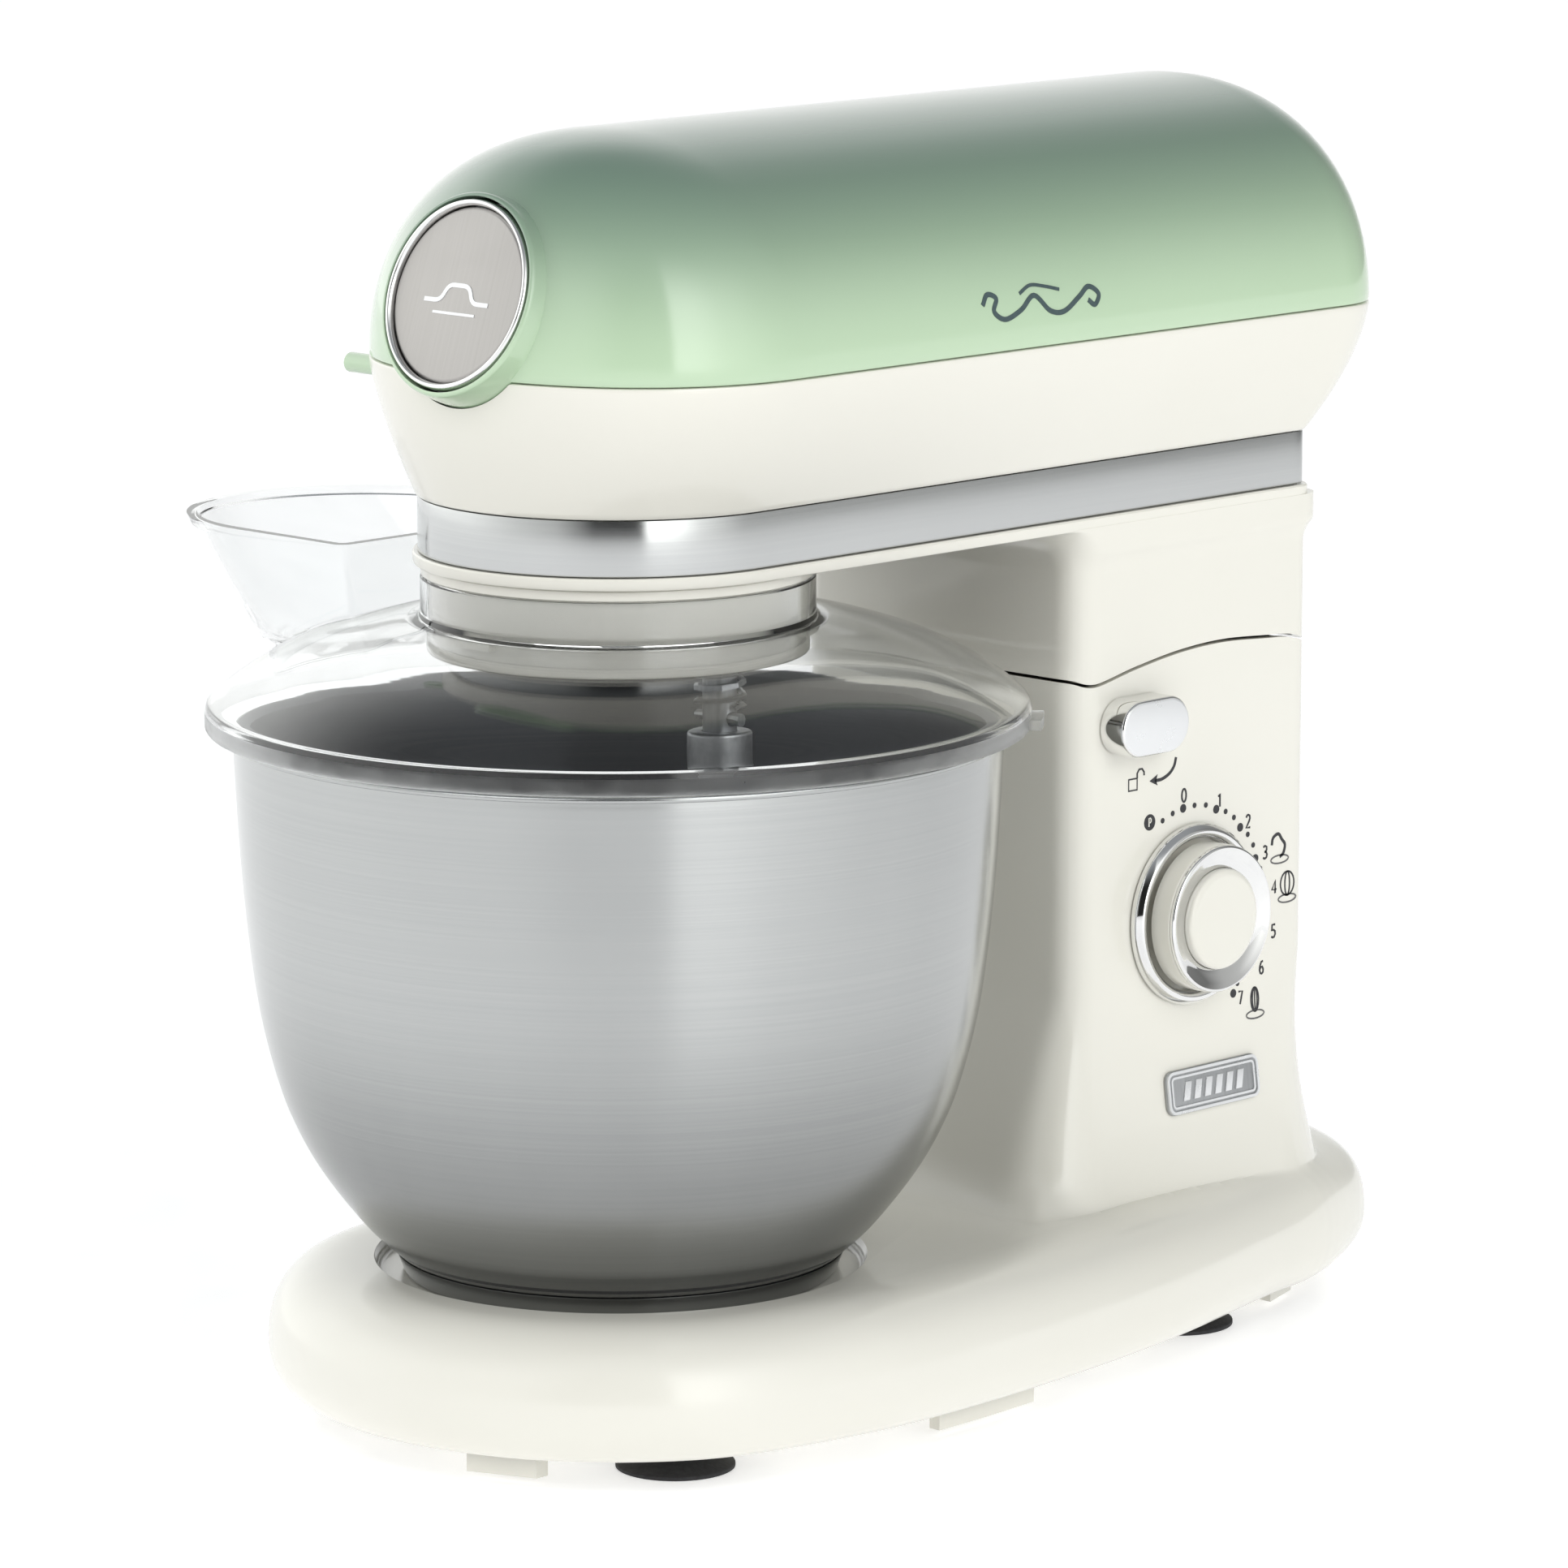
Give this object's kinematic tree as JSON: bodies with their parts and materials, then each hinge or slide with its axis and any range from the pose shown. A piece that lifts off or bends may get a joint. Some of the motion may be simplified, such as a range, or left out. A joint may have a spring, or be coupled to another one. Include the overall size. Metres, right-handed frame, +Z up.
{
  "type": "stand mixer",
  "caption": "Tilt-head stand mixer with a steel bowl, clear splash guard with a feed chute, planetary dough hook, rotary speed dial and head lock lever.",
  "frame": {"origin": "on the table under the middle of the bounding box", "axes": "+Z up, the nose and bowl point along -Y, and the dial and lever are on the +X side"},
  "size_m": [0.288, 0.4169, 0.3785],
  "materials": {
    "cream": "glossy ivory moulding",
    "green": "glossy pastel green moulding",
    "clear": "clear smooth plastic",
    "bowl_steel": "brushed stainless steel",
    "chrome": "polished chrome plate",
    "satin_metal": "satin",
    "rubber": "black, matt",
    "machined_steel": "machined",
    "cast_aluminium": "cast and tumbled",
    "laminated_steel": "dark laminations",
    "copper": "turned copper bars",
    "nylon": "natural nylon",
    "circuit_board": "coated laminate"
  },
  "bodies": {
    "base": {"base_shell": "cream", "base_plate": "cream", "suction_foot_front_left": "rubber", "suction_foot_front_right": "rubber", "suction_foot_rear_left": "rubber", "suction_foot_rear_right": "rubber", "base_screw_front_left": "machined_steel", "base_screw_front_right": "machined_steel", "base_screw_rear_left": "machined_steel", "base_screw_rear_right": "machined_steel", "bowl_seat": "satin_metal", "dial_bezel": "chrome", "speed_switch": "nylon", "control_board": "circuit_board", "hinge_bracket": "machined_steel", "hinge_pin": "machined_steel", "cord_gland": "rubber", "side_badge": "satin_metal"},
    "head": {"head_cover": "green", "head_side_shell": "cream", "trim_band": "bowl_steel", "head_arm": "cream", "guard_collar": "cream", "ring_gear": "machined_steel", "gearbox_housing": "cast_aluminium", "output_bearing": "machined_steel", "hub_socket": "cast_aluminium", "motor_stator": "laminated_steel", "motor_mount": "cast_aluminium", "brush_left": "nylon", "brush_right": "nylon", "rear_bearing": "machined_steel"},
    "rotor": {"motor_shaft": "machined_steel", "armature": "laminated_steel", "commutator": "copper", "cooling_fan": "nylon", "motor_worm": "machined_steel"},
    "planetary": {"output_shaft": "machined_steel", "worm_wheel": "nylon", "planet_carrier": "cast_aluminium"},
    "tool": {"tool_shaft": "machined_steel", "planet_pinion": "machined_steel", "drive_pin": "machined_steel", "tool_spring": "machined_steel", "dough_hook": "cast_aluminium"},
    "bowl": {"mixing_bowl": "bowl_steel", "bowl_foot": "bowl_steel"},
    "guard": {"splash_guard": "clear"},
    "chute": {"feed_chute": "clear"},
    "knob": {"knob_body": "cream", "knob_ring": "chrome", "knob_cap": "cream", "knob_shaft": "machined_steel"},
    "lever": {"lock_lever": "chrome", "lever_shaft": "machined_steel", "latch_cam": "nylon"},
    "latch": {"latch_bolt": "machined_steel"},
    "release": {"release_peg": "green"},
    "hub_cover": {"hub_cover_disc": "satin_metal", "hub_cover_ring": "chrome"}
  },
  "joints": [
    {"name": "head_tilt", "type": "hinge", "parent": "base", "child": "head", "pos_m": [0.024, 0.1336, 0.165], "axis": [-1, 0, 0], "range_deg": [0, 38]},
    {"name": "motor_spin", "type": "hinge", "parent": "head", "child": "rotor", "pos_m": [0.055, -0.0884, 0.3], "axis": [0, 1, 0], "continuous": true},
    {"name": "planet_drive", "type": "hinge", "parent": "head", "child": "planetary", "pos_m": [0.024, -0.0884, 0.26], "axis": [0, 0, 1], "continuous": true},
    {"name": "tool_spin", "type": "hinge", "parent": "planetary", "child": "tool", "pos_m": [0.04432, -0.06736, 0.22], "axis": [0, 0, 1], "continuous": true},
    {"name": "bowl_twist", "type": "hinge", "parent": "base", "child": "bowl", "pos_m": [0.024, -0.0884, 0.045], "axis": [0, 0, 1], "range_deg": [0, 24]},
    {"name": "guard_twist", "type": "hinge", "parent": "head", "child": "guard", "pos_m": [0.024, -0.0884, 0.24], "axis": [0, 0, 1], "range_deg": [0, 20]},
    {"name": "chute_lift", "type": "slide", "parent": "guard", "child": "chute", "axis": [0, 0, 1], "range_m": [0, 0.014]},
    {"name": "speed_knob", "type": "hinge", "parent": "base", "child": "knob", "pos_m": [0.089, 0.0976, 0.1299], "axis": [-1, 0, 0], "range_deg": [-40, 147]},
    {"name": "lock_lever", "type": "hinge", "parent": "base", "child": "lever", "pos_m": [0.087, 0.0642, 0.192], "axis": [-1, 0, 0], "range_deg": [0, 45]},
    {"name": "latch_slide", "type": "slide", "parent": "base", "child": "latch", "axis": [0, -1, 0], "range_m": [0, 0.005]},
    {"name": "release_press", "type": "slide", "parent": "head", "child": "release", "axis": [1, 0, 0], "range_m": [0, 0.004], "stiffness_N_per_m": 300, "springref_m": -0.002},
    {"name": "hub_cover_pull", "type": "slide", "parent": "head", "child": "hub_cover", "axis": [0, -0.9478, 0.319], "range_m": [0, 0.02]}
  ],
  "couplings": [
    {"joint": "planet_drive", "follows": "motor_spin", "ratio": -0.041667},
    {"joint": "tool_spin", "follows": "motor_spin", "ratio": 0.15},
    {"joint": "lock_lever", "follows": "latch_slide", "rad_per_m": 157.08}
  ]
}
